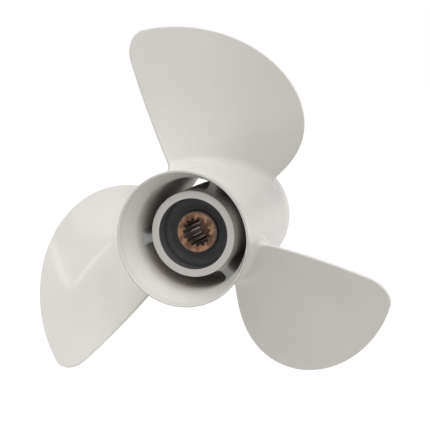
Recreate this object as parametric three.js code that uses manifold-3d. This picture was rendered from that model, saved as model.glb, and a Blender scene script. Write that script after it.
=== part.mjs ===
// Three-blade outboard propeller with through-hub exhaust, right-hand rotation.
// Millimetres. +Y points forward along the propeller shaft, -Y aft, +Z up.
// The origin lies on the shaft axis, level with the middle of the blade roots.
// An angle round the shaft is measured from +Z towards +X, clockwise as seen from astern.

import * as THREE from 'three';
import { mergeVertices } from 'three/addons/utils/BufferGeometryUtils.js';
import Module from 'manifold-3d';

const wasm = await Module();
wasm.setup();

// ---- Driving dimensions ---------------------------------------------------------------

const seam = 0.3;                 // gap between neighbouring solids

// Blades
const blade_count = 3;
const tip_radius = 171.5;         // half of the 13-1/2 in diameter
const pitch = 406.4;              // 16 in advance in one turn
const blade_one_angle = 14.5;     // middle of the first blade's root, degrees
const trailing_root_angle = -39;  // from the middle of the root, degrees
const trailing_lean = 0.041;      // degrees that the trailing edge gains per mm of radius
const trailing_corner = 21.2;     // radial height of the rounded corner at the tip
const trailing_corner_power = 2;  // 2 makes the corner a quarter of an ellipse
const tip_angle = -28.7;          // outermost point, from the middle of the root
const leading_root_angle = 35.2;
const leading_span_power = 2.3;   // exponents of the leading edge's curve
const leading_turn_power = 1.8;
const rake_at_root = 10.8;        // backward lean of the blade, degrees
const rake_at_tip = 13.6;
const root_thickness = 13;
const tip_thickness = 3.4;
const edge_thickness = 2.4;
const thickness_power = 1.3;      // how quickly the blade thins towards the tip
const root_fillet = 8;
const fillet_reach = 0.4;         // share of the fillet that runs out past the blade's edges

// Barrel, the outer shell that carries the blades
const barrel_radius = 54;
const barrel_wall = 6.8;
const barrel_front = 72;
const barrel_aft = -83.2;
const nose_radius = 52.2;
const nose_wall = 2.9;
const nose_taper_length = 18;
const flare_radius = 55.7;
const flare_length = 17;
const flare_neck_depth = 0.7;
const flare_lip = 1.6;            // wall left at the very edge of the flare
const mouth_length = 25;          // how far the inside keeps widening towards the edge

// Inner hub, the tube that holds the rubber
const inner_hub_radius = 36;
const inner_hub_bore = 29.7;
const inner_hub_aft = -54.3;
const inner_hub_front = 46;

// Webs between the barrel and the inner hub
const web_one_angle = 19.5;       // degrees, one web behind each blade root
const web_thickness = 8;
const web_aft = -45;
const web_front = 40;

// Rubber damper and splined sleeve
const damper_fit = 0.3;
const damper_aft = -41;
const damper_front = 34;
const damper_edge = 1.2;
const sleeve_radius = 17.7;
const sleeve_aft = -44.3;
const sleeve_front = 48;
const sleeve_chamfer = 1.2;
const spline_teeth = 15;
const spline_root_radius = 12.1;
const spline_tip_radius = 10.4;
const spline_length = 45;
const spline_land = 8;            // width of a tooth at its tip, degrees
const spline_groove = 9;          // width of a groove at its root, degrees
const counterbore_radius = 13.2;

// Facets
const barrel_facets = 72;
const tube_facets = 60;
const chord_steps = 11;
const span_steps = 13;

// ---- Helpers --------------------------------------------------------------------------

const degrees = Math.PI / 180;

function polar(radius, angle, y) {
  return new THREE.Vector3(radius * Math.sin(angle), y, radius * Math.cos(angle));
}

// Only positions, with shared vertices merged, so that the surface is closed.
function weld(geometry) {
  geometry.deleteAttribute('normal');
  geometry.deleteAttribute('uv');
  return mergeVertices(geometry, 1e-4);
}

// A profile of [radius, y] points, up the outside and down the inside, turned about the shaft.
function turned(profile, facets) {
  const points = profile.map(([radius, y]) => new THREE.Vector2(radius, y));
  points.push(points[0].clone());
  return weld(new THREE.LatheGeometry(points, facets));
}

function solid(geometry) {
  const vertices = Float32Array.from(geometry.attributes.position.array);
  const triangles = Uint32Array.from(geometry.index.array);
  return new wasm.Manifold(new wasm.Mesh({
    numProp: 3,
    vertProperties: vertices,
    triVerts: triangles,
  }));
}

function geometryOf(body) {
  const mesh = body.getMesh();
  const geometry = new THREE.BufferGeometry();
  geometry.setAttribute('position', new THREE.BufferAttribute(mesh.vertProperties, 3));
  geometry.setIndex(new THREE.BufferAttribute(mesh.triVerts, 1));
  return geometry;
}

// Closed skin through sections that all have the same number of points.
// A section runs along one side and comes back along the other.
function lofted(sections) {
  const count = sections[0].length;
  const positions = sections.flat().flatMap((point) => [point.x, point.y, point.z]);
  const index = [];
  for (let ring = 0; ring + 1 < sections.length; ring += 1) {
    for (let step = 0; step < count; step += 1) {
      const next = (step + 1) % count;
      const a = ring * count + step;
      const b = ring * count + next;
      index.push(a, b, b + count, a, b + count, a + count);
    }
  }
  const last = (sections.length - 1) * count;
  for (let step = 0; step < count / 2 - 1; step += 1) {
    const back = count - 1 - step;
    index.push(step, back, back - 1, step, back - 1, step + 1);
    index.push(last + step, last + back - 1, last + back, last + step, last + step + 1, last + back - 1);
  }
  const geometry = new THREE.BufferGeometry();
  geometry.setAttribute('position', new THREE.Float32BufferAttribute(positions, 3));
  geometry.setIndex(index);
  return geometry;
}

// ---- Barrel ---------------------------------------------------------------------------

const barrel_bore = barrel_radius - barrel_wall;
const nose_start = barrel_front - nose_taper_length;
const neck_y = barrel_aft + flare_length;
const mouth_y = barrel_aft + mouth_length;

// Outer profile, from the aft edge forward, moved outwards by a clearance.
function barrelOutside(clearance) {
  const neck_radius = barrel_radius - flare_neck_depth;
  const steps = 5;
  const flare = [];
  for (let step = 0; step <= steps; step += 1) {
    const along = step / steps;
    const widen = (1 - along) ** 2 * (flare_radius - neck_radius);
    flare.push([neck_radius + widen + clearance, barrel_aft + along * flare_length]);
  }
  return [
    ...flare,
    [barrel_radius + clearance, neck_y + flare_length],
    [barrel_radius + clearance, nose_start],
    [nose_radius + clearance, barrel_front],
  ];
}

// Inner profile, from the front aft, moved inwards by a clearance.
function barrelInside(clearance) {
  return [
    [nose_radius - nose_wall - clearance, barrel_front],
    [barrel_bore - clearance, nose_start],
    [barrel_bore - clearance, mouth_y],
    [(barrel_bore + flare_radius - flare_lip) / 2 + 0.3 - clearance, mouth_y - mouth_length / 2],
    [flare_radius - flare_lip - clearance, barrel_aft],
  ];
}

function barrel() {
  return turned([...barrelOutside(0), ...barrelInside(0)], barrel_facets);
}

// ---- Inner hub and webs ---------------------------------------------------------------

function innerHub() {
  return turned([
    [inner_hub_bore, inner_hub_aft],
    [inner_hub_radius, inner_hub_aft],
    [inner_hub_radius, inner_hub_front],
    [inner_hub_bore, inner_hub_front],
  ], barrel_facets);
}

// A flat web, cut to the space between the two walls.
function web(angle) {
  const depth = barrel_radius;
  const length = web_front - web_aft;
  const box = new THREE.BoxGeometry(web_thickness, length, depth);
  box.translate(0, web_aft + length / 2, depth / 2);
  box.rotateY(angle);
  const space = turned([
    [inner_hub_radius + seam, web_aft - 1],
    [barrel_bore - seam, web_aft - 1],
    [barrel_bore - seam, web_front + 1],
    [inner_hub_radius + seam, web_front + 1],
  ], barrel_facets);
  return geometryOf(solid(weld(box)).intersect(solid(space)));
}

// ---- Blades ---------------------------------------------------------------------------

const span = tip_radius - barrel_radius;
const advance = pitch / (2 * Math.PI);        // mm forward per radian of turn

function trailingAngle(radius) {
  const straight = trailing_root_angle + trailing_lean * (radius - barrel_radius);
  const above = Math.max(0, radius - (tip_radius - trailing_corner)) / trailing_corner;
  const kept = (1 - Math.min(1, above) ** trailing_corner_power) ** (1 / trailing_corner_power);
  return (tip_angle + (straight - tip_angle) * kept) * degrees;
}

function leadingAngle(radius) {
  const height = Math.min(1, Math.max(0, radius - barrel_radius) / span);
  const kept = (1 - height ** leading_span_power) ** (1 / leading_turn_power);
  return (tip_angle + (leading_root_angle - tip_angle) * kept) * degrees;
}

// How far the blade leans aft at a radius: a slope that grows evenly from root to tip.
function rakeOffset(radius) {
  const height = radius - barrel_radius;
  const first = Math.tan(rake_at_root * degrees);
  const last = Math.tan(rake_at_tip * degrees);
  return first * height + (last - first) * height * Math.abs(height) / (2 * span);
}

// Extra thickness of the fillet between blade and barrel, a quarter circle.
function filletFlare(radius) {
  const height = Math.max(0, radius - barrel_radius);
  if (height >= root_fillet) {
    return 0;
  }
  return root_fillet - Math.sqrt(root_fillet ** 2 - (root_fillet - height) ** 2);
}

function bladeThickness(radius) {
  const height = Math.min(1, Math.max(0, (radius - barrel_radius) / span));
  return tip_thickness + (root_thickness - tip_thickness) * (1 - height) ** thickness_power;
}

// One section, lying on a cylinder round the shaft. The aft face follows the pitch helix
// and the forward face is crowned.
function bladeSection(radius, blade_angle) {
  const helix = Math.hypot(radius, advance);
  const flare = filletFlare(radius);
  const trailing = trailingAngle(radius) - fillet_reach * flare / helix;
  const leading = leadingAngle(radius) + fillet_reach * flare / helix;
  const crown = bladeThickness(radius) - edge_thickness;
  const place = (along, lift) => {
    const helix_angle = leading + (trailing - leading) * along;
    const turn = helix_angle - advance / helix * lift / radius;
    const y = advance * helix_angle - rakeOffset(radius) + radius / helix * lift;
    return polar(radius, blade_angle + turn, y);
  };
  const forward = [];
  const aft = [];
  for (let step = 0; step <= chord_steps; step += 1) {
    const along = (1 - Math.cos(Math.PI * step / chord_steps)) / 2;
    const bulge = (4 * along * (1 - along)) ** 0.8;
    forward.push(place(along, edge_thickness / 2 + flare + crown * bulge));
    aft.unshift(place(along, -edge_thickness / 2 - flare));
  }
  return [...forward, ...aft];
}

function blade(angle) {
  const radii = [barrel_radius - 4];
  for (const share of [0.03, 0.15, 0.4, 1]) {
    radii.push(barrel_radius + share * root_fillet);
  }
  for (let step = 1; step <= span_steps; step += 1) {
    const share = Math.sin(Math.PI / 2 * step / span_steps);
    radii.push(barrel_radius + root_fillet + share * (span - root_fillet) * 0.9996);
  }
  const skin = lofted(radii.map((radius) => bladeSection(radius, angle)));
  const hub = barrelOutside(seam);
  const core = turned([[0, barrel_aft], ...hub, [0, barrel_front]], barrel_facets);
  return geometryOf(solid(skin).subtract(solid(core)));
}

// ---- Damper and sleeve ----------------------------------------------------------------

function damper() {
  const inside = sleeve_radius + damper_fit;
  const outside = inner_hub_bore - damper_fit;
  return turned([
    [inside, damper_aft],
    [outside - damper_edge, damper_aft],
    [outside, damper_aft + damper_edge],
    [outside, damper_front - damper_edge],
    [outside - damper_edge, damper_front],
    [inside, damper_front],
  ], tube_facets);
}

function splineOutline() {
  const outline = new THREE.Shape();
  const tooth_pitch = 360 / spline_teeth;
  for (let tooth = 0; tooth < spline_teeth; tooth += 1) {
    const centre = tooth * tooth_pitch;
    const corners = [
      [spline_tip_radius, centre - spline_land / 2],
      [spline_tip_radius, centre + spline_land / 2],
      [spline_root_radius, centre + (tooth_pitch - spline_groove) / 2],
      [spline_root_radius, centre + (tooth_pitch + spline_groove) / 2],
    ];
    for (const [radius, angle] of corners) {
      const x = radius * Math.cos(angle * degrees);
      const y = radius * Math.sin(angle * degrees);
      if (outline.curves.length === 0 && tooth === 0 && angle < centre) {
        outline.moveTo(x, y);
      } else {
        outline.lineTo(x, y);
      }
    }
  }
  outline.closePath();
  return outline;
}

function sleeve() {
  const blank = turned([
    [0, sleeve_aft],
    [sleeve_radius - sleeve_chamfer, sleeve_aft],
    [sleeve_radius, sleeve_aft + sleeve_chamfer],
    [sleeve_radius, sleeve_front - sleeve_chamfer],
    [sleeve_radius - sleeve_chamfer, sleeve_front],
    [0, sleeve_front],
  ], tube_facets);
  const depth = spline_length + 2;
  const spline = new THREE.ExtrudeGeometry(splineOutline(), { depth, bevelEnabled: false });
  spline.rotateX(-Math.PI / 2);
  spline.translate(0, sleeve_aft - 1, 0);
  const counterbore = turned([
    [0, sleeve_aft + spline_length],
    [counterbore_radius, sleeve_aft + spline_length],
    [counterbore_radius, sleeve_front + 1],
    [0, sleeve_front + 1],
  ], tube_facets);
  return geometryOf(solid(blank).subtract(solid(weld(spline))).subtract(solid(counterbore)));
}

// ---- Assembly -------------------------------------------------------------------------

const paint = new THREE.MeshStandardMaterial({ color: 0xcfccc7, roughness: 0.32, metalness: 0 });
const bare_casting = new THREE.MeshStandardMaterial({ color: 0x8f9092, roughness: 0.5, metalness: 0.8 });
const rubber = new THREE.MeshStandardMaterial({ color: 0x2f3131, roughness: 0.85, metalness: 0 });
const bronze = new THREE.MeshStandardMaterial({ color: 0x86684f, roughness: 0.4, metalness: 0.9 });

const propeller = new THREE.Group();

function add(name, geometry, material) {
  const mesh = new THREE.Mesh(geometry, material.clone());
  mesh.name = name;
  propeller.add(mesh);
}

add('hub_barrel', barrel(), paint);
add('inner_hub', innerHub(), bare_casting);
for (let number = 1; number <= blade_count; number += 1) {
  const turn = (number - 1) * 2 * Math.PI / blade_count;
  add(`blade_${number}`, blade(blade_one_angle * degrees + turn), paint);
  add(`web_${number}`, web(web_one_angle * degrees + turn), bare_casting);
}
add('rubber_damper', damper(), rubber);
add('splined_sleeve', sleeve(), bronze);

export default propeller;
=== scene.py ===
# %% [markdown]
# # An outboard propeller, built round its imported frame
# The real object is a three-blade aluminium propeller with the exhaust led through its hub.
# One casting makes the barrel, the blades, the webs and the inner tube. A rubber damper is pressed
# into the tube, and a splined bronze sleeve sits in the rubber.
# Every piece here is made in metres in the frame's own axes: +Y is forward along the shaft,
# -Y is aft, +Z is up, and the origin lies on the shaft level with the middle of the blade roots.

# %% Load the frame
import math
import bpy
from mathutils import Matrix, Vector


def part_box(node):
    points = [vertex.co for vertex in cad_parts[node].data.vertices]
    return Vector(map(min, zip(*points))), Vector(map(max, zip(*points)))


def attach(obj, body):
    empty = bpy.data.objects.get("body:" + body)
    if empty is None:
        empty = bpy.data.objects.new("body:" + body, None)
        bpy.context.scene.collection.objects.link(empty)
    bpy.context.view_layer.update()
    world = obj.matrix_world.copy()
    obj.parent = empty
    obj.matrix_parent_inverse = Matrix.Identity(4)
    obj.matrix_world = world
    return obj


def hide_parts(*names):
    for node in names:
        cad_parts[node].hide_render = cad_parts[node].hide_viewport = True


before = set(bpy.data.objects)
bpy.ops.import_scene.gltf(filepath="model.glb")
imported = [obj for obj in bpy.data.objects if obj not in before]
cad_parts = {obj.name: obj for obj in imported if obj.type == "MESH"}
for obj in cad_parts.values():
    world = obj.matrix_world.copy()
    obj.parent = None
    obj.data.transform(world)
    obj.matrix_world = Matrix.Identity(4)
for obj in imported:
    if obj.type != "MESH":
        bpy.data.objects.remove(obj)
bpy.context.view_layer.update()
import bpy
from mathutils import Matrix, Vector

scene = bpy.context.scene
mm = 0.001
degrees = math.pi / 180
print("CAD nodes:", sorted(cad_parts))

# %% [markdown]
# ## Camera
# The view comes first, so that every later step can be looked at. It is a long lens from astern,
# a little to starboard and a little above. The camera's three axes are worked out from the two
# angles, then turned a touch about the line of sight, and the camera backs off along that line.

# %% Camera
view_azimuth = 17.19126 * degrees
view_elevation = 8.63056 * degrees
view_roll = 0.69004 * degrees
view_distance = 930.085 * mm
aim_across, aim_up = 0.86524 * mm, 7.49025 * mm
aim_forward = 4.7 * mm
focal_share = 1059.386 / 430      # lens length as a share of the sensor's width

back = Vector((
    math.sin(view_azimuth) * math.cos(view_elevation),
    -math.cos(view_azimuth) * math.cos(view_elevation),
    math.sin(view_elevation),
))
level_right = (-back).cross(Vector((0, 0, 1))).normalized()
level_up = level_right.cross(-back)
right = math.cos(view_roll) * level_right + math.sin(view_roll) * level_up
up = math.cos(view_roll) * level_up - math.sin(view_roll) * level_right

lens = bpy.data.cameras.new("camera")
lens.sensor_width = 36
lens.lens = focal_share * lens.sensor_width
lens.clip_start, lens.clip_end = 0.05, 60
camera = bpy.data.objects.new("camera", lens)
turn = Matrix((right, up, back)).transposed().to_4x4()
place = aim_across * right + aim_up * up + view_distance * back + Vector((0, aim_forward, 0))
camera.matrix_world = Matrix.Translation(place) @ turn
scene.collection.objects.link(camera)
scene.camera = camera
print("camera at", [round(value, 3) for value in place], "lens", round(lens.lens, 1), "mm")

# %% [markdown]
# ## Studio
# Pale paint needs something pale to reflect. The lower half of the room is bright, in place of the
# light that a pale floor throws up at the propeller, and the upper half adds a little. The camera
# itself sees plain white. Broad sun lamps stand for big soft boxes: the two strongest are on the
# camera's side, so that light reaches into the open aft end of the hub, and weaker ones stand to
# the left, overhead and ahead. Two long strips, far away, give the glossy enamel a pair of thin
# highlights. The power of an area lamp is shared over its surface, so a strip's power is its shine
# times pi times its area.

# %% Room
scene.view_settings.view_transform = "Standard"

room = bpy.data.worlds.new("white room")
room.use_nodes = True
scene.world = room
room_nodes = room.node_tree.nodes
room_links = room.node_tree.links
room_nodes.clear()
way = room_nodes.new("ShaderNodeTexCoord")
way_apart = room_nodes.new("ShaderNodeSeparateXYZ")
room_links.new(way.outputs["Generated"], way_apart.inputs[0])
height_share = room_nodes.new("ShaderNodeMapRange")
height_share.inputs["From Min"].default_value = -1
room_links.new(way_apart.outputs["Z"], height_share.inputs["Value"])
wall_colour = room_nodes.new("ShaderNodeValToRGB")
bounce, wall = wall_colour.color_ramp.elements
bounce.position, bounce.color = 0.47, (0.745, 0.73, 0.715, 1)
wall.position, wall.color = 0.56, (0.20, 0.20, 0.205, 1)
room_links.new(height_share.outputs[0], wall_colour.inputs[0])
lit_room = room_nodes.new("ShaderNodeBackground")
room_links.new(wall_colour.outputs[0], lit_room.inputs["Color"])
seen_room = room_nodes.new("ShaderNodeBackground")
seen_room.inputs["Color"].default_value = (1, 1, 1, 1)
ray = room_nodes.new("ShaderNodeLightPath")
chosen = room_nodes.new("ShaderNodeMixShader")
room_out = room_nodes.new("ShaderNodeOutputWorld")
room_links.new(ray.outputs["Is Camera Ray"], chosen.inputs["Fac"])
room_links.new(lit_room.outputs[0], chosen.inputs[1])
room_links.new(seen_room.outputs[0], chosen.inputs[2])
room_links.new(chosen.outputs[0], room_out.inputs["Surface"])
print("white room of", len(room_nodes), "nodes")

# %% Lamps
STRIP_SHINE = 7
STRIP_DISTANCE = 12


def lamp_spot(azimuth, elevation, distance=2.0):
    """A place seen from the hub at an azimuth, 0 astern and 90 to the right, and an elevation."""
    a, e = azimuth * degrees, elevation * degrees
    way_out = Vector((math.sin(a) * math.cos(e), -math.cos(a) * math.cos(e), math.sin(e)))
    return way_out * distance


def lamp(name, kind, spot, power, **settings):
    """A light at a spot, aimed at the hub."""
    data = bpy.data.lights.new(name, kind)
    data.energy = power
    for key, value in settings.items():
        setattr(data, key, value)
    made = bpy.data.objects.new(name, data)
    made.location = spot
    made.rotation_euler = spot.to_track_quat("Z", "Y").to_euler()
    scene.collection.objects.link(made)
    print("light", name, "power", power)


for name, azimuth, elevation, power, breadth in (
    ("high key", 20, 60, 1.36, 50),
    ("right key", 60, 30, 0.98, 50),
    ("left", 270, 45, 0.62, 50),
    ("low left", 285, 15, 0.32, 60),
    ("overhead", 0, 90, 0.60, 50),
    ("behind", 175, 25, 0.42, 100),
):
    lamp(name, "SUN", lamp_spot(azimuth, elevation), power, angle=breadth * degrees)

for name, azimuth, elevation, across, upright in (
    ("upright strip", -34, 45.5, 0.34, 3.3),
    ("level strip", -22.5, 37.3, 3.2, 0.34),
):
    power = STRIP_SHINE * math.pi * across * upright
    lamp(name, "AREA", lamp_spot(azimuth, elevation, STRIP_DISTANCE), power,
         shape="RECTANGLE", size=across, size_y=upright)

# %% [markdown]
# ## Sizes from the frame
# The frame says how big each turned piece is. For a piece that goes round the shaft, the useful
# numbers are its smallest and largest radius and its two ends along the shaft.


# %% Read ring sizes
def ring_size(node):
    """Smallest radius, largest radius, aft end and front end of a CAD node."""
    low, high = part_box(node)
    radii = [math.hypot(v.co.x, v.co.z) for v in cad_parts[node].data.vertices]
    return min(radii), max(radii), low.y, high.y


barrel_bore, flare_radius, barrel_aft, barrel_front = ring_size("hub_barrel")
tube_bore, tube_radius, tube_aft, tube_front = ring_size("inner_hub")
rubber_bore, rubber_radius, rubber_aft, rubber_front = ring_size("rubber_damper")
spline_tip, sleeve_radius, sleeve_aft, sleeve_front = ring_size("splined_sleeve")
web_aft, web_front = ring_size("web_1")[2:]
tip_radius = ring_size("blade_1")[1] - 0.1 * mm
barrel_radius = 54 * mm
for title, size in (("barrel", barrel_radius), ("flare", flare_radius), ("blade tip", tip_radius)):
    print(title, "radius", round(size / mm, 2), "mm")

# %% [markdown]
# ## Sums in a node tree
# Geometry Nodes and shader trees do arithmetic one node at a time. A small wrapper round a socket
# lets the rules below read as ordinary sums: `a + b` adds a Math node and returns its output.


# %% Sums with nodes
class Sum:
    """The output socket of a node, with arithmetic."""

    def __init__(self, tree, socket):
        self.tree = tree
        self.socket = socket

    def math(self, operation, *others):
        node = add_node(self.tree, "ShaderNodeMath", operation=operation)
        for slot_number, value in enumerate((self, *others)):
            feed(self.tree, value, node.inputs[slot_number])
        return Sum(self.tree, node.outputs[0])

    def __add__(self, other):
        return self.math("ADD", other)

    def __radd__(self, other):
        return self.math("ADD", other)

    def __sub__(self, other):
        return self.math("SUBTRACT", other)

    def __rsub__(self, other):
        return (self * -1).math("ADD", other)

    def __mul__(self, other):
        return self.math("MULTIPLY", other)

    def __rmul__(self, other):
        return self.math("MULTIPLY", other)

    def __truediv__(self, other):
        return self.math("DIVIDE", other)

    def __rtruediv__(self, other):
        return (self ** -1.0) * other

    def __pow__(self, other):
        return self.math("POWER", other)

    def sin(self):
        return self.math("SINE")

    def cos(self):
        return self.math("COSINE")

    def root(self):
        return self.math("SQRT")

    def least(self, other):
        return self.math("MINIMUM", other)

    def most(self, other):
        return self.math("MAXIMUM", other)

    def above(self, other):
        return self.math("GREATER_THAN", other)

    def clamped(self):
        return self.most(0.0).least(1.0)

    def smooth(self, start, end):
        """0 before start, 1 after end, and an even swing between them."""
        share = ((self - start) / (end - start)).clamped()
        return share * share * (3.0 - 2.0 * share)


def add_node(tree, kind, **settings):
    """A new node, set out in rows so that the tree can be read in the editor."""
    count = len(tree.nodes)
    node = tree.nodes.new(kind)
    node.location = (count % 12 * 190, -(count // 12) * 260)
    for key, value in settings.items():
        setattr(node, key, value)
    return node


def feed(tree, value, socket):
    """Links a Sum or a socket to an input, or sets the input to a plain value."""
    if isinstance(value, Sum):
        tree.links.new(value.socket, socket)
    elif isinstance(value, bpy.types.NodeSocket):
        tree.links.new(value, socket)
    else:
        socket.default_value = value


def mix(low, high, share):
    return low + (high - low) * share


def vector(tree, x, y, z):
    node = add_node(tree, "ShaderNodeCombineXYZ")
    for value, socket in zip((x, y, z), node.inputs):
        feed(tree, value, socket)
    return node.outputs[0]


print("sums ready")

# %% [markdown]
# ## Making and running a tree
# Each Geometry Nodes tree gets named inputs, so the same rule can be run with other sizes. After
# it has run, the result is copied to a plain mesh and the modifier is taken off, which leaves an
# ordinary mesh at the origin with its place in its points.

# %% Make and run a tree
SOCKETS = {float: "NodeSocketFloat", int: "NodeSocketInt", bpy.types.Material: "NodeSocketMaterial"}


def new_rule(name, inputs):
    """A Geometry Nodes tree with a geometry input and named inputs of the kinds given."""
    tree = bpy.data.node_groups.new(name, "GeometryNodeTree")
    tree.interface.new_socket("Geometry", in_out="INPUT", socket_type="NodeSocketGeometry")
    tree.interface.new_socket("Geometry", in_out="OUTPUT", socket_type="NodeSocketGeometry")
    for title, kind in inputs.items():
        tree.interface.new_socket(title, in_out="INPUT", socket_type=SOCKETS[kind])
    entry = add_node(tree, "NodeGroupInput")
    given = {title: Sum(tree, entry.outputs[title]) for title in inputs}
    return tree, entry, given


def end_rule(tree, geometry, material):
    """Realize Instances, Set Material, and out."""
    real = add_node(tree, "GeometryNodeRealizeInstances")
    tree.links.new(geometry, real.inputs[0])
    paint_on = add_node(tree, "GeometryNodeSetMaterial")
    tree.links.new(real.outputs[0], paint_on.inputs["Geometry"])
    feed(tree, material, paint_on.inputs["Material"])
    leave = add_node(tree, "NodeGroupOutput")
    tree.links.new(paint_on.outputs[0], leave.inputs[0])


def run_rules(name, steps, mesh=None):
    """Runs trees one after another on a new object and keeps the result as a plain mesh."""
    piece = bpy.data.objects.new(name, mesh or bpy.data.meshes.new(name))
    scene.collection.objects.link(piece)
    for tree, values in steps:
        step = piece.modifiers.new(tree.name, "NODES")
        step.node_group = tree
        for item in tree.interface.items_tree:
            if item.in_out == "INPUT" and item.name in values:
                step[item.identifier] = values[item.name]
    done = piece.evaluated_get(bpy.context.evaluated_depsgraph_get())
    plain = bpy.data.meshes.new_from_object(done)
    piece.modifiers.clear()
    piece.data = plain
    plain.name = name
    print(name, "from", len(steps), "rules:", len(plain.polygons), "faces")
    return piece


# %% [markdown]
# ## A ring of copies
# The blades, the webs and the splines all repeat evenly round the shaft. One tree serves them all:
# it puts an instance of its input at each of a number of points on the shaft, each turned a step
# further about Y, and welds the joints where the copies meet.

# %% Rule: ring of copies
ring_rule, ring_entry, ring_in = new_rule(
    "ring of copies",
    {"Count": int, "First turn": float, "Weld": float, "Material": bpy.types.Material},
)
ring_points = add_node(ring_rule, "GeometryNodeMeshLine", mode="OFFSET")
ring_rule.links.new(ring_in["Count"].socket, ring_points.inputs["Count"])
ring_points.inputs["Offset"].default_value = (0, 0, 0)
ring_index = Sum(ring_rule, add_node(ring_rule, "GeometryNodeInputIndex").outputs[0])
ring_turn = ring_in["First turn"] + ring_index * (2 * math.pi) / ring_in["Count"]
ring_rotation = add_node(ring_rule, "FunctionNodeEulerToRotation")
feed(ring_rule, vector(ring_rule, 0.0, ring_turn, 0.0), ring_rotation.inputs[0])
ring_copies = add_node(ring_rule, "GeometryNodeInstanceOnPoints")
ring_rule.links.new(ring_points.outputs[0], ring_copies.inputs["Points"])
ring_rule.links.new(ring_entry.outputs["Geometry"], ring_copies.inputs["Instance"])
ring_rule.links.new(ring_rotation.outputs[0], ring_copies.inputs["Rotation"])
ring_whole = add_node(ring_rule, "GeometryNodeRealizeInstances")
ring_rule.links.new(ring_copies.outputs[0], ring_whole.inputs[0])
ring_weld = add_node(ring_rule, "GeometryNodeMergeByDistance")
ring_rule.links.new(ring_whole.outputs[0], ring_weld.inputs["Geometry"])
feed(ring_rule, ring_in["Weld"], ring_weld.inputs["Distance"])
end_rule(ring_rule, ring_weld.outputs[0], ring_in["Material"])
print("ring rule:", len(ring_rule.nodes), "nodes")

# %% [markdown]
# ## Finishes
# Each finish is a procedural material on Object coordinates, so a pattern keeps its real size.
# A few helpers come first: noise of a given grain size, a colour that swings between two others,
# a bump from a height in metres, and the even ripples that a lathe tool leaves.


# %% Helpers for finishes
def new_finish(name, colour, roughness, metallic=0.0):
    """A material with one Principled shader. Numbers that don't vary are set straight on it."""
    material = bpy.data.materials.new(name)
    material.use_nodes = True
    tree = material.node_tree
    shader = tree.nodes["Principled BSDF"]
    shader.inputs["Base Color"].default_value = (*colour, 1)
    shader.inputs["Roughness"].default_value = roughness
    shader.inputs["Metallic"].default_value = metallic
    where = add_node(tree, "ShaderNodeTexCoord").outputs["Object"]
    return material, tree, shader, where


def noise(tree, where, grain, detail=2.0, stretch=(1, 1, 1)):
    """Noise from 0 to 1 whose lumps are about one grain across, in metres."""
    spread = add_node(tree, "ShaderNodeMapping")
    tree.links.new(where, spread.inputs["Vector"])
    spread.inputs["Scale"].default_value = stretch
    node = add_node(tree, "ShaderNodeTexNoise")
    tree.links.new(spread.outputs[0], node.inputs["Vector"])
    node.inputs["Scale"].default_value = 1 / grain
    node.inputs["Detail"].default_value = detail
    return Sum(tree, node.outputs["Fac"])


def blend_colours(tree, first, second, share):
    """A colour that goes from first to second as share goes from 0 to 1."""
    node = add_node(tree, "ShaderNodeMix", data_type="RGBA")
    feed(tree, share, node.inputs["Factor"])
    for colour, socket in ((first, node.inputs[6]), (second, node.inputs[7])):
        if isinstance(colour, tuple):
            socket.default_value = (*colour, 1)
        else:
            tree.links.new(colour, socket)
    return node.outputs[2]


def bump(tree, shader, height, depth):
    """Bump from a height between 0 and 1 that stands for depth in metres."""
    node = add_node(tree, "ShaderNodeBump")
    node.inputs["Strength"].default_value = 1.0
    node.inputs["Distance"].default_value = depth
    feed(tree, height, node.inputs["Height"])
    tree.links.new(node.outputs[0], shader.inputs["Normal"])


def ripples(distance, step, wander):
    """Even ripples from 0 to 1, one for each step, moved a little by a wandering phase."""
    return (distance * (2 * math.pi / step) + wander).sin() * 0.5 + 0.5


def around_shaft(tree, where):
    """Distance from the shaft, distance along it, and the angle round it."""
    apart = add_node(tree, "ShaderNodeSeparateXYZ")
    tree.links.new(where, apart.inputs[0])
    x, y, z = (Sum(tree, socket) for socket in apart.outputs)
    return (x * x + z * z).root(), y, x.math("ARCTAN2", z)


# %% [markdown]
# ## Enamel
# The casting is sprayed with a pale warm grey enamel. It is glossy, with a faint orange peel and
# the slow waves of the casting under it. The mouth was bored before it was sprayed, so it shows the
# bands that the tool left. Its paint is made a little brighter, which is painted light inside the
# flare, and a grey line round the lip's outer rounding is painted shade.
# The spray only reaches a little way into the exhaust passage, deeper on one side than on the
# other: the wall there goes from pale to bare casting, with a speckled edge. Distance from the
# shaft, distance along it and the angle round it say where each of these is, and noise breaks up
# the lines.

# %% Enamel colours and sizes
PALE_ENAMEL = (0.70, 0.679, 0.648)
WARM_ENAMEL = (0.672, 0.648, 0.612)
LIT_MOUTH_ENAMEL = (0.775, 0.752, 0.718)
MOUTH_BAND = (0.70, 0.678, 0.645)
LIP_SHADE_GREY = (0.36, 0.355, 0.35)
PASSAGE_CASTING = (0.58, 0.54, 0.505)
PASSAGE_SPECKLE = (0.68, 0.64, 0.605)

band_step = 3.2 * mm
mouth_end = (-62 * mm, -54 * mm)
aft_paint = (-62 * mm, -38 * mm)      # where the paint starts to thin, and where it is gone
front_paint = (64 * mm, 69 * mm)      # where it starts again near the front end, and is whole
deeper_side = 0.9                     # radians to the left of the top, seen from astern
deeper_by = 8 * mm
print("paint ends between", round(aft_paint[0] / mm), "and", round(aft_paint[1] / mm), "mm")

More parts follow.
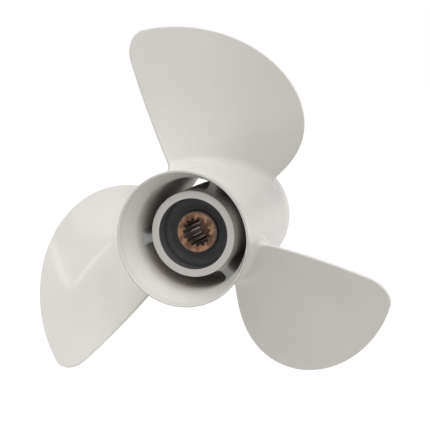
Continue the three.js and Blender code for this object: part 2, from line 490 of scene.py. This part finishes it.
# %% Finish: enamel
enamel, tree, shader, where = new_finish("enamel", PALE_ENAMEL, 0.28)
radius, along, angle = around_shaft(tree, where)
slow = noise(tree, where, 60 * mm, 3.0)
speckle = noise(tree, where, 2.2 * mm, 3.0)
peel = noise(tree, where, 2.6 * mm, 2.0)
wave = noise(tree, where, 28 * mm, 2.0)
tone = blend_colours(tree, PALE_ENAMEL, WARM_ENAMEL, slow.smooth(0.35, 0.65))
# Inside the mouth the enamel is made brighter, which is painted light inside the flare.
mouth = (1.0 - radius.smooth(52.4 * mm, 53.0 * mm)) * (1.0 - along.smooth(*mouth_end))
tone = blend_colours(tree, tone, LIT_MOUTH_ENAMEL, mouth)
bands = ripples(along, band_step, slow * 2.0)
tone = blend_colours(tree, tone, MOUTH_BAND, mouth * bands * 0.8)
# A grey line round the lip's outer rounding: painted shade on the lip's edge.
lip_shade = radius.smooth(flare_radius - 1.2 * mm, flare_radius - 0.7 * mm)
lip_shade = lip_shade * (1.0 - along.smooth(barrel_aft + 0.5 * mm, barrel_aft + 0.9 * mm))
tone = blend_colours(tree, tone, LIP_SHADE_GREY, lip_shade * (0.6 + speckle * 0.4))
passage = 1.0 - radius.smooth(51.6 * mm, 52.0 * mm)
sprayed_side = (angle + deeper_side).cos() * deeper_by
aft_reach = (along + speckle * (5 * mm) - sprayed_side).smooth(*aft_paint)
front_reach = 1.0 - (along - speckle * (3 * mm)).smooth(*front_paint)
bare = passage * aft_reach * front_reach
cast_tone = blend_colours(tree, PASSAGE_CASTING, PASSAGE_SPECKLE, speckle.smooth(0.4, 0.7))
tree.links.new(blend_colours(tree, tone, cast_tone, bare), shader.inputs["Base Color"])
feed(tree, 0.26 + speckle * 0.05 + bare * 0.45, shader.inputs["Roughness"])
feed(tree, 0.35 - bare * 0.35, shader.inputs["Coat Weight"])
shader.inputs["Coat Roughness"].default_value = 0.08
bump(tree, shader, peel * 0.12 + wave * 1.0 + bare * speckle * 3.0 + mouth * bands * 0.8, 0.10 * mm)
print("enamel:", len(tree.nodes), "nodes")

# %% [markdown]
# ## Bare casting
# Inside the hub the aluminium is bare: dull grey where it came out of the mould, dark in the
# tube's bore, and bright where the end of the tube was faced in a lathe. The faced ring is told
# from the rest by how far aft it lies. It carries fine turning marks, which are ripples in the
# distance from the shaft. A mist of overspray from the mouth has settled on the aft ends of the
# webs and the tube, thickest next to the tube. The mist is made thinner in the upper part, which is
# painted shade on the top web.

# %% Bare casting colours and sizes
CAST_GREY = (0.26, 0.262, 0.268)
CAST_LIGHT = (0.34, 0.342, 0.345)
TUBE_BORE_WALL = (0.10, 0.10, 0.102)
MIST_AT_TUBE = (0.80, 0.78, 0.75)
MIST_OUTSIDE = (0.50, 0.51, 0.52)
FACED_LOW = (0.69, 0.67, 0.645)
FACED_HIGH = (0.78, 0.76, 0.735)

mark_step = 0.45 * mm
mist_end = (-44 * mm, -20 * mm)
mist_edge = (37 * mm, 40 * mm)
bore_wall = (31 * mm, 33 * mm)
print("turning marks", mark_step / mm, "mm apart")

# %% Finish: bare casting
casting, tree, shader, where = new_finish("bare casting", (0.2, 0.2, 0.2), 0.5, 0.6)
radius, along, angle = around_shaft(tree, where)
grain = noise(tree, where, 1.6 * mm, 4.0)
stain = noise(tree, where, 16 * mm, 3.0)
faced = 1.0 - along.smooth(tube_aft + 0.45 * mm, tube_aft + 0.7 * mm)
marks = ripples(radius, mark_step, stain * 2.0)
rough_tone = blend_colours(tree, CAST_GREY, CAST_LIGHT, stain.smooth(0.3, 0.7))
outer = radius.smooth(*bore_wall)
# Less mist in the upper part: painted shade on the top web.
top_shade = angle.cos().smooth(0.4, 0.8)
mist = 1.0 - (along + stain * (8 * mm)).smooth(*mist_end)
mist = mist * outer * (1.0 - top_shade * 0.7) * (1.0 - faced)
rough_tone = blend_colours(tree, TUBE_BORE_WALL, rough_tone, outer)
mist_tone = blend_colours(tree, MIST_AT_TUBE, MIST_OUTSIDE, radius.smooth(*mist_edge))
rough_tone = blend_colours(tree, rough_tone, mist_tone, mist)
faced_tone = blend_colours(tree, FACED_LOW, FACED_HIGH, marks)
tree.links.new(blend_colours(tree, rough_tone, faced_tone, faced), shader.inputs["Base Color"])
feed(tree, 0.62 - faced * 0.24 + grain * 0.1, shader.inputs["Roughness"])
feed(tree, (0.35 * outer + faced * 0.75) * (1.0 - mist * 0.8), shader.inputs["Metallic"])
bump(tree, shader, (1.0 - faced) * grain * 4.0 + faced * marks * 0.5, 0.04 * mm)
print("bare casting:", len(tree.nodes), "nodes")

# %% [markdown]
# ## Rubber
# The damper is moulded black rubber: no shine to speak of, a fine grain from the mould, and a
# little grey dust in patches.

# %% Finish: rubber
RUBBER_BLACK = (0.054, 0.056, 0.059)
RUBBER_DUST = (0.070, 0.072, 0.075)

rubber_finish, tree, shader, where = new_finish("rubber", (0.03, 0.031, 0.031), 0.72)
grain = noise(tree, where, 0.7 * mm, 3.0)
dust = noise(tree, where, 9 * mm, 4.0)
tone = blend_colours(tree, RUBBER_BLACK, RUBBER_DUST, dust.smooth(0.4, 0.75))
tree.links.new(tone, shader.inputs["Base Color"])
feed(tree, 0.62 + dust * 0.2, shader.inputs["Roughness"])
bump(tree, shader, grain, 0.06 * mm)
print("rubber:", len(tree.nodes), "nodes")

# %% [markdown]
# ## Bronze
# The sleeve is a brown bronze. Its end was turned, so it has fine rings, and the chamfer round the
# outside is pale, which is partly a painted highlight on that edge. The splines were cut along the
# shaft, which leaves scratches along Y. Old grease has darkened the end next to the teeth, and
# nearly all of the splined bore is made dark. The lands of the teeth are bright over the stretch
# where the shaft has run: rubbed wear, and painted highlights as well. The plain bore past the
# splines is made lighter, which is painted light from the front opening.

# %% Bronze colours and sizes
BRONZE = (0.52, 0.295, 0.185)
BRONZE_STAIN = (0.24, 0.14, 0.10)
GRIME = (0.15, 0.085, 0.06)
DARK_SPLINE_BORE = (0.115, 0.10, 0.09)
PLAIN_BORE_LIT = (0.66, 0.45, 0.36)
LAND_WEAR_AND_HIGHLIGHT = (0.80, 0.74, 0.68)
CHAMFER_AND_HIGHLIGHT = (0.62, 0.52, 0.45)

spline_end = sleeve_aft + 45 * mm
ring_step = 0.5 * mm
wear_and_highlight_start = (sleeve_aft + 14 * mm, sleeve_aft + 20 * mm)
wear_and_highlight_end = (sleeve_aft + 36 * mm, sleeve_aft + 42 * mm)
grime_reach = (13 * mm, 16 * mm)
print("splines end at", round(spline_end / mm, 1), "mm")

# %% Finish: bronze
bronze, tree, shader, where = new_finish("bronze", (0.36, 0.22, 0.14), 0.35, 0.9)
radius, along, _ = around_shaft(tree, where)
stain = noise(tree, where, 5 * mm, 3.0)
cuts = noise(tree, where, 0.5 * mm, 2.0, (1, 0.04, 1))
rings = ripples(radius, ring_step, stain * 3.0)
end_face = 1.0 - along.smooth(sleeve_aft + 0.2 * mm, sleeve_aft + 0.5 * mm)
tone = blend_colours(tree, BRONZE, BRONZE_STAIN, stain.smooth(0.38, 0.62))
grime = (1.0 - radius.smooth(*grime_reach)) * stain.smooth(0.3, 0.55)
tone = blend_colours(tree, tone, GRIME, grime * 0.75)
past_face = along.smooth(sleeve_aft + 0.4 * mm, sleeve_aft + 1.4 * mm)
deep = along.smooth(spline_end - 1 * mm, spline_end + 4 * mm)
land = 1.0 - radius.smooth(spline_tip + 0.15 * mm, spline_tip + 0.4 * mm)
# The lands are made bright over a stretch of the bore: rubbed wear, and painted highlights as well.
land_wear_and_highlight = land * along.smooth(*wear_and_highlight_start)
land_wear_and_highlight = land_wear_and_highlight * (1.0 - along.smooth(*wear_and_highlight_end))
# Nearly all of the splined bore is made dark.
tone = blend_colours(tree, tone, DARK_SPLINE_BORE, past_face * 0.9)
# Past the splines the plain bore is made lighter, which is painted light from the front opening.
tone = blend_colours(tree, tone, PLAIN_BORE_LIT, deep)
tone = blend_colours(tree, tone, LAND_WEAR_AND_HIGHLIGHT, land_wear_and_highlight)
# A pale ring on the outer chamfer: turned metal, and a painted highlight on the edge as well.
rim = radius.smooth(sleeve_radius - 1.35 * mm, sleeve_radius - 1.15 * mm)
tone = blend_colours(tree, tone, CHAMFER_AND_HIGHLIGHT, rim * (1.0 - past_face))
tree.links.new(tone, shader.inputs["Base Color"])
feed(tree, 0.3 + stain * 0.14 + cuts * 0.08 + deep * 0.4, shader.inputs["Roughness"])
feed(tree, 0.9 - past_face * (1.0 - deep) * (1.0 - land_wear_and_highlight) * 0.7, shader.inputs["Metallic"])
bump(tree, shader, mix(cuts, rings * 0.5, end_face), 0.03 * mm)
print("bronze:", len(tree.nodes), "nodes")

# %% [markdown]
# ## Turning a profile
# The barrel, the tube and the rubber are round, so each is one outline turned about the shaft.
# A corner of the outline may name a rounding radius, and the helper then swaps the corner for an
# arc. Real edges are never quite sharp, and a small rounding is what catches the light.

# %% Turned pieces
SHARP_FROM = 30 * degrees


def arc_corner(before, corner, after, size, steps=5):
    """Points of the arc of a given size that rounds a corner."""
    first = (Vector(before) - Vector(corner)).normalized()
    second = (Vector(after) - Vector(corner)).normalized()
    half = first.angle(second) / 2
    reach = size / math.tan(half)
    centre = Vector(corner) + (first + second).normalized() * (size / math.sin(half))
    start = Vector(corner) + first * reach - centre
    end = Vector(corner) + second * reach - centre
    whole = math.atan2(start.cross(end), start.dot(end))
    points = []
    for step in range(steps + 1):
        swing = whole * step / steps
        c, s = math.cos(swing), math.sin(swing)
        points.append(centre + Vector((start.x * c - start.y * s, start.x * s + start.y * c)))
    return points


def rounded(outline):
    """An outline of (radius, y) or (radius, y, rounding) with its corners rounded."""
    points = []
    count = len(outline)
    for number, corner in enumerate(outline):
        if len(corner) == 2:
            points.append(Vector(corner))
            continue
        before, after = outline[number - 1][:2], outline[(number + 1) % count][:2]
        points += arc_corner(before, corner[:2], after, corner[2])
    return points


def skin(name, rows, material=None, wrap=True, cap=False, inside_out=False):
    """A mesh through rows of points. Wrap joins the last row to the first; cap closes both."""
    count = len(rows[0])
    faces = []
    for row in range(len(rows) if wrap else len(rows) - 1):
        other = (row + 1) % len(rows)
        for step in range(count):
            after = (step + 1) % count
            face = (row * count + step, row * count + after,
                    other * count + after, other * count + step)
            faces.append(face if inside_out else face[::-1])
    if cap:
        last = (len(rows) - 1) * count
        ends = [tuple(reversed(range(count))), tuple(range(last, last + count))]
        faces += ends if inside_out else [end[::-1] for end in ends]
    mesh = bpy.data.meshes.new(name)
    mesh.from_pydata([tuple(point) for row in rows for point in row], [], faces)
    mesh.shade_smooth()
    mesh.set_sharp_from_angle(angle=SHARP_FROM)
    if material:
        mesh.materials.append(material)
    mesh.update()
    return mesh


def polar(radius, angle, y):
    return Vector((radius * math.sin(angle), y, radius * math.cos(angle)))


def turned(name, outline, segments, material):
    """An outline that runs aft to front outside and back inside, turned about the shaft."""
    points = rounded(outline)
    rows = []
    for segment in range(segments):
        angle = 2 * math.pi * segment / segments
        rows.append([polar(point[0], angle, point[1]) for point in points])
    piece = bpy.data.objects.new(name, skin(name, rows, material))
    scene.collection.objects.link(piece)
    print(name, "turned from", len(points), "points:", len(piece.data.polygons), "faces")
    return piece


# %% [markdown]
# ## Barrel
# The barrel is the outer shell, with the blades outside and the exhaust passage inside. Its aft
# end flares out to a thin lip, behind a shallow neck, which keeps exhaust from being drawn back
# over the blades. The front end narrows a little and stands close to the gearcase.

# %% Barrel
neck_radius = barrel_radius - 0.7 * mm
flare_length = 17 * mm
neck_aft = barrel_aft + flare_length
lip_inside = flare_radius - 1.6 * mm
nose_radius = 52.2 * mm
nose_bore = 47.7 * mm
nose_start = barrel_front - 18 * mm
mouth_front = barrel_aft + 25 * mm
barrel_ends = -54 * mm

outside = [(flare_radius, barrel_aft, 0.7 * mm)]
for step in range(1, 13):
    share = step / 12
    widen = (1 - share) ** 2 * (flare_radius - neck_radius)
    outside.append((neck_radius + widen, barrel_aft + share * flare_length))
for step in range(1, 9):
    share = step / 8
    ease = share * share * (3 - 2 * share)
    outside.append((neck_radius + ease * (barrel_radius - neck_radius),
                    neck_aft + share * (barrel_ends - neck_aft)))
for step in range(1, 20):
    outside.append((barrel_radius, barrel_ends + step / 20 * (nose_start - barrel_ends)))
outside.append((barrel_radius, nose_start, 60 * mm))
outside.append((nose_radius, barrel_front, 0.9 * mm))

inside = [(nose_bore, barrel_front, 0.6 * mm), (barrel_bore, nose_start, 20 * mm)]
for step in range(1, 12):
    inside.append((barrel_bore, nose_start + step / 12 * (mouth_front - nose_start)))
mouth_middle = (barrel_bore + lip_inside) / 2 + 0.3 * mm
inside += [
    (barrel_bore, mouth_front, 30 * mm),
    (mouth_middle, barrel_aft + 12.5 * mm, 30 * mm),
    (lip_inside, barrel_aft, 0.6 * mm),
]
barrel = turned("barrel", outside + inside, 288, enamel)

# %% [markdown]
# ## Blade rule
# A propeller blade is a slice of a screw thread. A point on it advances a fixed distance forward
# for each turn it makes round the shaft, so once its radius and its angle are known, its place
# along the shaft follows. Four things are added to the bare screw: the outline, given as an angle
# for the trailing edge and one for the leading edge at each radius; the rake, which leans the
# blade aft; the thickness, which is greatest at the root; and the fillet that runs out on to the
# barrel. That is a shape with a rule, so a node tree makes it from a plain flat grid.

# %% Blade rule: inputs and sections
blade_rule, _, given = new_rule("blade", {
    "Barrel radius": float, "Tip radius": float, "Advance": float,
    "Trailing angle": float, "Trailing lean": float, "Trailing corner": float,
    "Tip angle": float, "Leading angle": float, "Rake at root": float, "Rake at tip": float,
    "Root thickness": float, "Tip thickness": float, "Edge thickness": float,
    "Root fillet": float, "Foot depth": float, "Material": bpy.types.Material,
})
span = given["Tip radius"] - given["Barrel radius"]


def edge_angles(height):
    """Angles of the trailing and the leading edge at a height above the barrel."""
    share = (height / span).clamped()
    corner = ((height - span + given["Trailing corner"]) / given["Trailing corner"]).clamped()
    straight = given["Trailing angle"] + given["Trailing lean"] * height
    trailing = mix(given["Tip angle"], straight, (1.0 - corner ** 2.0).root())
    kept = (1.0 - share ** 2.3) ** (1 / 1.8)
    return trailing, mix(given["Tip angle"], given["Leading angle"], kept)


def on_blade(height, share, lift, reach):
    """A point of the blade. Share runs from trailing to leading edge, lift is off the screw
    surface towards the front, and reach is along the screw past the outline."""
    radius = given["Barrel radius"] + height
    advance = given["Advance"]
    helix = (radius * radius + advance * advance).root()
    trailing, leading = edge_angles(height)
    screw_angle = mix(trailing, leading, share) + reach / helix
    angle = screw_angle - advance / helix * lift / radius
    lean = given["Rake at root"] * height
    lean = lean + (given["Rake at tip"] - given["Rake at root"]) * height * height / (2.0 * span)
    y = advance * screw_angle - lean + radius / helix * lift
    return vector(blade_rule, radius * angle.sin(), y, radius * angle.cos())


print("blade rule has", len(given), "inputs")

# %% [markdown]
# The edge must be round and even in width wherever the outline goes, round the tip as well. The
# tree therefore draws the outline as a line of its own, and Geometry Proximity measures how far
# each grid point is from it. Within one edge radius of the outline the blade is a half circle.

# %% Blade rule: outline and grid
EDGE_POINTS = 700
EDGE_START_DEPTH = 8 * mm
CHORD_STEPS = 96
FILLET_ROWS = 14
SPAN_ROWS = 74

edge_line = add_node(blade_rule, "GeometryNodeMeshLine", mode="OFFSET")
edge_line.inputs["Count"].default_value = EDGE_POINTS
edge_line.inputs["Offset"].default_value = (0, 0, 0)
edge_share = Sum(blade_rule, add_node(blade_rule, "GeometryNodeInputIndex").outputs[0])
edge_share = edge_share / float(EDGE_POINTS - 1)
edge_height = mix(-EDGE_START_DEPTH, span, (edge_share * math.pi).sin())
edge_placed = add_node(blade_rule, "GeometryNodeSetPosition")
blade_rule.links.new(edge_line.outputs[0], edge_placed.inputs["Geometry"])
feed(blade_rule, on_blade(edge_height, edge_share.above(0.5), 0.0, 0.0),
     edge_placed.inputs["Position"])

rows = 1 + FILLET_ROWS + SPAN_ROWS
grid = add_node(blade_rule, "GeometryNodeMeshGrid")
grid.inputs["Vertices X"].default_value = CHORD_STEPS + 1
grid.inputs["Vertices Y"].default_value = rows + 1
grid_place = add_node(blade_rule, "ShaderNodeSeparateXYZ")
blade_rule.links.new(add_node(blade_rule, "GeometryNodeInputPosition").outputs[0],
                     grid_place.inputs[0])
across = Sum(blade_rule, grid_place.outputs[0]) + 0.5
upward = (Sum(blade_rule, grid_place.outputs[1]) + 0.5) * float(rows)

chord_share = 0.5 - (across * math.pi).cos() * 0.5
swing = ((upward - 1.0) / float(FILLET_ROWS)).clamped() * (math.pi / 2)
climb = ((upward - 1.0 - FILLET_ROWS) / float(SPAN_ROWS)).clamped() * (math.pi / 2)
fillet = given["Root fillet"]
on_barrel = upward.above(0.5)
height = fillet * (1.0 - swing.cos()) + (span - fillet) * climb.sin()
height = height - (1.0 - on_barrel) * given["Foot depth"] - 0.012 * mm * (1.0 - climb.sin())
flare = fillet * (1.0 - swing.sin())
print("grid of", CHORD_STEPS, "by", rows)

# %% [markdown]
# The thickness goes on in both directions from the screw surface: evenly aft, where the pressure
# face is flat, and with a crown forward. The fillet is an offset that grows towards the barrel as
# a quarter circle does. It pushes each point along the section's own normal, so it also runs
# round the two edges. The lowest row is sunk in the barrel's wall and closes the foot.

# %% Blade rule: thickness, fillet and faces
near = add_node(blade_rule, "GeometryNodeProximity", target_element="EDGES")
blade_rule.links.new(edge_placed.outputs[0], near.inputs[0])
feed(blade_rule, on_blade(height, chord_share, 0.0, 0.0), near.inputs["Sample Position"])
off_edge = across.above(0.0001) * (1.0 - across.above(0.9999))
off_edge = off_edge * (1.0 - upward.above(rows - 0.5))
inward = Sum(blade_rule, near.outputs["Distance"]) * off_edge

edge_radius = given["Edge thickness"] * 0.5
outward = (1.0 - inward / edge_radius).clamped()
upright = (1.0 - outward * outward).root()
half_edge = edge_radius * upright
share_up = (height / span).clamped()
thickness = given["Tip thickness"]
thickness = thickness + (given["Root thickness"] - thickness) * (1.0 - share_up) ** 1.3
bulge = (4.0 * chord_share * (1.0 - chord_share)).clamped() ** 0.8
settle = 1.0 - (1.0 - (inward / (9 * mm)).clamped()) ** 2.0
crown = (thickness - given["Edge thickness"]) * bulge * settle
side = across.above(0.5) * 2.0 - 1.0
reach = side * outward * flare

both_sides = add_node(blade_rule, "GeometryNodeJoinGeometry")
for forward in (1.0, -1.0):
    lift = (half_edge + upright * flare) * forward
    if forward > 0:
        lift = lift + crown
    placed = add_node(blade_rule, "GeometryNodeSetPosition")
    blade_rule.links.new(grid.outputs["Mesh"], placed.inputs["Geometry"])
    feed(blade_rule, on_blade(height, chord_share, lift * on_barrel, reach),
         placed.inputs["Position"])
    face = placed.outputs[0]
    if forward > 0:
        turned_over = add_node(blade_rule, "GeometryNodeFlipFaces")
        blade_rule.links.new(face, turned_over.inputs[0])
        face = turned_over.outputs[0]
    blade_rule.links.new(face, both_sides.inputs[0])

welded = add_node(blade_rule, "GeometryNodeMergeByDistance")
blade_rule.links.new(both_sides.outputs[0], welded.inputs["Geometry"])
welded.inputs["Distance"].default_value = 0.002 * mm
end_rule(blade_rule, welded.outputs[0], given["Material"])
print("blade rule:", len(blade_rule.nodes), "nodes")

# %% [markdown]
# ## Blades
# The sizes go in by name, and the ring rule sets out the three copies. Right-hand rotation comes
# from the sign of the screw: a greater angle, clockwise seen from astern, lies further forward.

# %% Blades
pitch = 406.4 * mm
blade_sizes = {
    "Barrel radius": barrel_radius, "Tip radius": tip_radius, "Advance": pitch / (2 * math.pi),
    "Trailing angle": -39 * degrees, "Trailing lean": 0.041 * degrees / mm,
    "Trailing corner": 21.2 * mm, "Tip angle": -28.7 * degrees, "Leading angle": 35.2 * degrees,
    "Rake at root": math.tan(10.8 * degrees), "Rake at tip": math.tan(13.6 * degrees),
    "Root thickness": 13 * mm, "Tip thickness": 3.4 * mm, "Edge thickness": 2.4 * mm,
    "Root fillet": 9 * mm, "Foot depth": 2 * mm, "Material": enamel,
}
blade_turn = 14.5 * degrees
blade_ring = {"Count": 3, "First turn": blade_turn, "Weld": 0.0005 * mm, "Material": enamel}
blades = run_rules("blades", [(blade_rule, blade_sizes), (ring_rule, blade_ring)])
blades.data.shade_smooth()

# %% [markdown]
# ## Inner tube
# The tube holds the rubber. Its aft end is faced square and bright, with both edges just rounded,
# and its outside is as cast, a little wider towards the front so that it leaves the mould.

# %% Inner tube
tube_draft = 0.9 * mm
tube = turned("inner_tube", [
    (tube_radius, tube_aft, 0.5 * mm),
    (tube_radius + tube_draft, 4 * mm, 40 * mm),
    (tube_radius + tube_draft, tube_front, 1.2 * mm),
    (tube_bore, tube_front, 0.5 * mm),
    (tube_bore, tube_aft, 0.4 * mm),
], 240, casting)

# %% [markdown]
# ## Webs
# Three webs carry the tube inside the barrel. A web is cast, so it has no sharp corners: it
# spreads where it meets either wall, and its ends are rounded. Each section across the passage is
# a rounded oblong, and its size follows from how near the walls are. One web is made by that
# rule, and the ring rule sets out the three.

# %% One web
web_half = 4 * mm
web_fillet = 4.2 * mm
web_corner = 2.4 * mm
into_wall = 0.35 * mm


def spread(gap):
    """How much wider the web is at a gap from a wall, for the quarter circle of the fillet."""
    kept = max(0.0, web_fillet - max(0.0, gap))
    return web_fillet - math.sqrt(web_fillet ** 2 - kept ** 2)


def web_section(radius):
    """Points of the oblong at one radius, always the same number."""
    grow = spread(radius - tube_radius) + spread(barrel_bore - radius)
    half = web_half + grow
    aft, front = web_aft - grow, web_front + grow
    corners = [(-half, aft), (half, aft), (half, front), (-half, front)]
    arcs = []
    for number, corner in enumerate(corners):
        arcs.append(arc_corner(corners[number - 1], corner, corners[(number + 1) % 4], web_corner))
    points = []
    for number, cuts in enumerate((4, 18, 4, 18)):
        start, end = arcs[number][-1], arcs[(number + 1) % 4][0]
        points += arcs[number]
        points += [start.lerp(end, cut / cuts) for cut in range(1, cuts)]
    return [polar(radius, math.asin(point.x / radius), point.y) for point in points]


gap = barrel_bore - tube_radius
web_rows = []
for step in range(25):
    swing = math.pi * step / 24
    web_rows.append(tube_radius + gap * (1 - math.cos(swing)) / 2)
web_rows[0] -= into_wall
web_rows[-1] += into_wall
web_rows = [web_section(radius) for radius in web_rows]
print("web crosses a gap of", round(gap / mm, 1), "mm in", len(web_rows), "sections")

# %% Webs
web_mesh = skin("web", web_rows, wrap=False, cap=True, inside_out=True)
web_turn = 19.5 * degrees
web_ring = {"Count": 3, "First turn": web_turn, "Weld": 0.0005 * mm, "Material": casting}
webs = run_rules("webs", [(ring_rule, web_ring)], web_mesh)
webs.data.shade_smooth()

# %% [markdown]
# ## Rubber damper
# The rubber fills the tube round the sleeve and lets it slip if a blade hits something. Its ends
# are moulded with soft corners. The aft end also has a shallow dish, which leaves a low rib round
# the outside, next to the tube.

# %% Rubber damper
dish = 1.4 * mm
pressed_radius = tube_bore - 0.05 * mm
rubber_middle = (rubber_bore + rubber_radius) / 2
rubber = turned("rubber", [
    (rubber_bore, rubber_aft + 0.4 * mm, 0.5 * mm),
    (rubber_bore + 1.6 * mm, rubber_aft + 0.4 * mm, 1.5 * mm),
    (rubber_middle, rubber_aft + dish, 5 * mm),
    (pressed_radius - 2.6 * mm, rubber_aft, 1.4 * mm),
    (pressed_radius, rubber_aft, 0.3 * mm),
    (pressed_radius, rubber_front, 1.2 * mm),
    (rubber_bore, rubber_front, 0.6 * mm),
], 192, rubber_finish)

# %% [markdown]
# ## Splined sleeve
# Fifteen splines are cut in the sleeve's bore, and past them the bore is plain and wider. One
# sector, from the middle of a tooth to the middle of the next, holds everything that repeats.
# It is a row of outlines in planes through the shaft: all alike outside, and inside each as deep
# as the spline is at its angle. The ring rule turns fifteen sectors into one closed sleeve.

# %% One sector of the sleeve
spline_root = 12.1 * mm
counterbore = 13.2 * mm
sleeve_edge = 1.2 * mm
teeth = 15
half_sector = 180 / teeth
groove_half = 4.5
land_half = 4.0
flank_shares = [0, 0.04, 0.12, 0.25, 0.4, 0.6, 0.75, 0.88, 0.96, 1]


def bore_at(share):
    """Radius of the bore on a flank: the groove's bottom at 0 and the tooth's tip at 1."""
    eased = 0.6 * share + 0.4 * share * share * (3 - 2 * share)
    return spline_root + eased * (spline_tip - spline_root)


def sleeve_outline(bore, angle):
    mouth = 0.35 * mm
    outline = [
        (bore + mouth, sleeve_aft),
        (sleeve_radius - sleeve_edge, sleeve_aft),
        (sleeve_radius, sleeve_aft + sleeve_edge),
        (sleeve_radius, sleeve_front - sleeve_edge),
        (sleeve_radius - sleeve_edge, sleeve_front),
        (counterbore + 0.6 * mm, sleeve_front),
        (counterbore, sleeve_front - 0.6 * mm),
        (counterbore, spline_end + 0.8 * mm),
        (bore, spline_end),
        (bore, sleeve_aft + mouth),
    ]
    return [polar(radius, angle * degrees, y) for radius, y in outline]


half_angles = [(0, 0), (groove_half * 0.5, 0)]
flank = half_sector - land_half - groove_half
half_angles += [(groove_half + share * flank, share) for share in flank_shares]
half_angles += [(half_sector - land_half * 0.5, 1), (half_sector, 1)]
sector_angles = [(-angle, share) for angle, share in reversed(half_angles[1:])] + half_angles
sector_rows = [sleeve_outline(bore_at(share), angle) for angle, share in sector_angles]
print("sector of", len(sector_rows), "outlines over", 2 * half_sector, "degrees")

# %% Sleeve
sector_mesh = skin("sector", sector_rows, wrap=False)
sleeve_turn = 6 * degrees
sleeve_ring = {"Count": teeth, "First turn": sleeve_turn, "Weld": 0.002 * mm, "Material": bronze}
sleeve = run_rules("sleeve", [(ring_rule, sleeve_ring)], sector_mesh)
sleeve.data.shade_smooth()
sleeve.data.set_sharp_from_angle(angle=24 * degrees)

# %% [markdown]
# ## Floor
# The floor is a plain pale square well under the lowest blade. The room already holds the light
# that it would throw up, so light rays pass through it and only the camera sees it. It belongs to
# the studio and not to the propeller.

# %% Floor
FLOOR_PALE = (0.975, 0.975, 0.97)
FLOOR_DULL = (0.96, 0.96, 0.955)

floor_finish, tree, shader, where = new_finish("floor", (0.97, 0.97, 0.965), 0.6)
tone = blend_colours(tree, FLOOR_PALE, FLOOR_DULL, noise(tree, where, 0.4))
tree.links.new(tone, shader.inputs["Base Color"])
floor_mesh = bpy.data.meshes.new("floor")
floor_size = 6.0
floor_drop = -0.34
floor_mesh.from_pydata(
    [(x * floor_size, y * floor_size, floor_drop) for x, y in ((-1, -1), (1, -1), (1, 1), (-1, 1))],
    [], [(0, 1, 2, 3)])
floor_mesh.materials.append(floor_finish)
floor = bpy.data.objects.new("floor", floor_mesh)
scene.collection.objects.link(floor)
floor.visible_diffuse = False
floor.visible_glossy = False
floor.visible_shadow = False
print("floor at", floor_drop, "m")

# %% [markdown]
# ## Tie the pieces to the frame
# The casting is one body: barrel, blades, tube and webs. The rubber and the sleeve are bodies of
# their own, because the rubber winds up and the casting can slip round it. Each piece stands for
# its CAD nodes, which stay for collision.

# %% Ride and replace
blade_nodes = [f"blade_{number}" for number in (1, 2, 3)]
web_nodes = [f"web_{number}" for number in (1, 2, 3)]
for piece, body, slot, nodes in (
    (barrel, "casting", "paint", ["hub_barrel"]),
    (blades, "casting", "paint", blade_nodes),
    (tube, "casting", "bare_casting", ["inner_hub"]),
    (webs, "casting", "bare_casting", web_nodes),
    (rubber, "damper", "rubber", ["rubber_damper"]),
    (sleeve, "sleeve", "bronze", ["splined_sleeve"]),
):
    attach(piece, body)
    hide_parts(*nodes)
    print(piece.name, "rides on", body, "and stands for", ", ".join(nodes))
